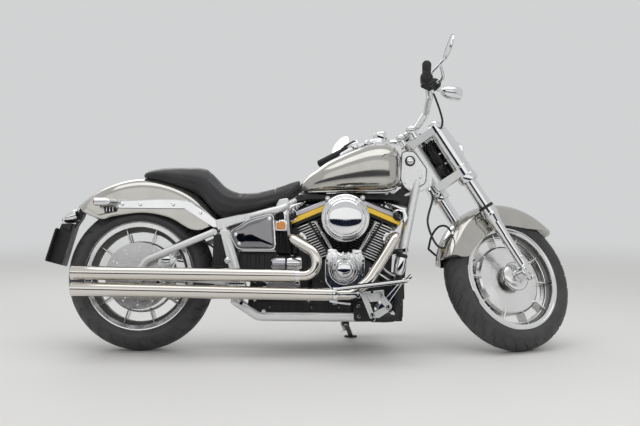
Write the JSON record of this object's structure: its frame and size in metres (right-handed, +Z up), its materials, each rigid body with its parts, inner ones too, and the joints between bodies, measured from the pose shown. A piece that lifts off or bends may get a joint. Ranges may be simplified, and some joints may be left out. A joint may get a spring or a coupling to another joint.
{
  "type": "cruiser motorcycle",
  "caption": "Long, low air-cooled V-twin cruiser motorcycle with cast disc wheels, full fenders, a stepped seat and stacked exhausts, leaning on its side stand.",
  "frame": {"origin": "on the floor, below the middle of the bounding box of the parked machine", "axes": "+X forwards along the machine, +Y to the rider's left, +Z up"},
  "size_m": [2.3367, 1.001, 1.3662],
  "materials": {
    "black_fins": "black with bright fin edges",
    "black_leather": "smooth, slight sheen",
    "black_plastic": "matt",
    "black_rubber": "matt",
    "brake_steel": "brushed",
    "champagne_paint": "metallic gloss",
    "chrome": "mirror",
    "engine_silver": "cast, satin",
    "gloss_black": "gloss",
    "pipe_chrome": "mirror, warm",
    "plate_white": "satin",
    "polished_wheel": "polished cast",
    "red_lens": "clear gloss",
    "silver_frame": "silver gloss",
    "tyre": "matt black rubber",
    "yellow_paint": "gloss"
  },
  "bodies": {
    "frame": {"air_cleaner": "chrome", "brake_pedal": "chrome", "cam_cover": "chrome", "crankcase": "black_fins", "cylinders": "black_fins", "drive_belt": "black_rubber", "exhaust_headers": "pipe_chrome", "fender_struts": "chrome", "floorboard_brackets": "chrome", "floorboards": "black_rubber", "frame": "silver_frame", "fuel_tank": "champagne_paint", "gearbox": "black_fins", "horn": "chrome", "mufflers": "pipe_chrome", "number_plate": "plate_white", "oil_tank": "gloss_black", "plate_holder": "black_plastic", "primary_cover": "chrome", "pushrod_tubes": "chrome", "rear_axle": "chrome", "rear_caliper": "chrome", "rear_fender": "champagne_paint", "rear_signals": "chrome", "regulator": "black_fins", "rocker_bands": "yellow_paint", "rocker_covers": "engine_silver", "seat": "black_leather", "side_covers": "gloss_black", "swingarm": "silver_frame", "tail_lamp": "red_lens", "tank_console": "chrome"},
    "front_wheel": {"front_tyre": "tyre", "front_rim": "polished_wheel", "front_disc": "brake_steel"},
    "rear_wheel": {"rear_tyre": "tyre", "rear_rim": "polished_wheel", "rear_disc": "brake_steel", "rear_pulley": "polished_wheel"},
    "stand": {"side_stand": "chrome"},
    "steering": {"front_axle": "chrome", "fork_legs": "chrome", "fork_covers": "chrome", "triple_clamps": "chrome", "headlamp": "chrome", "nacelle": "chrome", "handlebar": "chrome", "grips": "black_rubber", "hand_controls": "black_plastic", "mirrors": "chrome", "front_signals": "chrome", "front_fender": "champagne_paint", "front_caliper": "chrome"}
  },
  "joints": [
    {"name": "steering_turn", "type": "hinge", "parent": "frame", "child": "steering", "pos_m": [0.8398, -0.09867, 0.28369], "axis": [-0.5242, 0.1297, 0.8417], "range_deg": [-62, 0]},
    {"name": "front_wheel_turn", "type": "hinge", "parent": "steering", "child": "front_wheel", "pos_m": [0.87295, -0.07238, 0.30028], "axis": [-0.4395, 0.8053, -0.3979], "continuous": true},
    {"name": "rear_wheel_turn", "type": "hinge", "parent": "frame", "child": "rear_wheel", "pos_m": [-0.75844, -0.09452, 0.32136], "axis": [-0.001, 0.9882, -0.153], "continuous": true},
    {"name": "side_stand_fold", "type": "hinge", "parent": "frame", "child": "stand", "pos_m": [0.15303, 0.05748, 0.09428], "axis": [0.0059, 0.5126, 0.8586], "range_deg": [0, 90]}
  ]
}
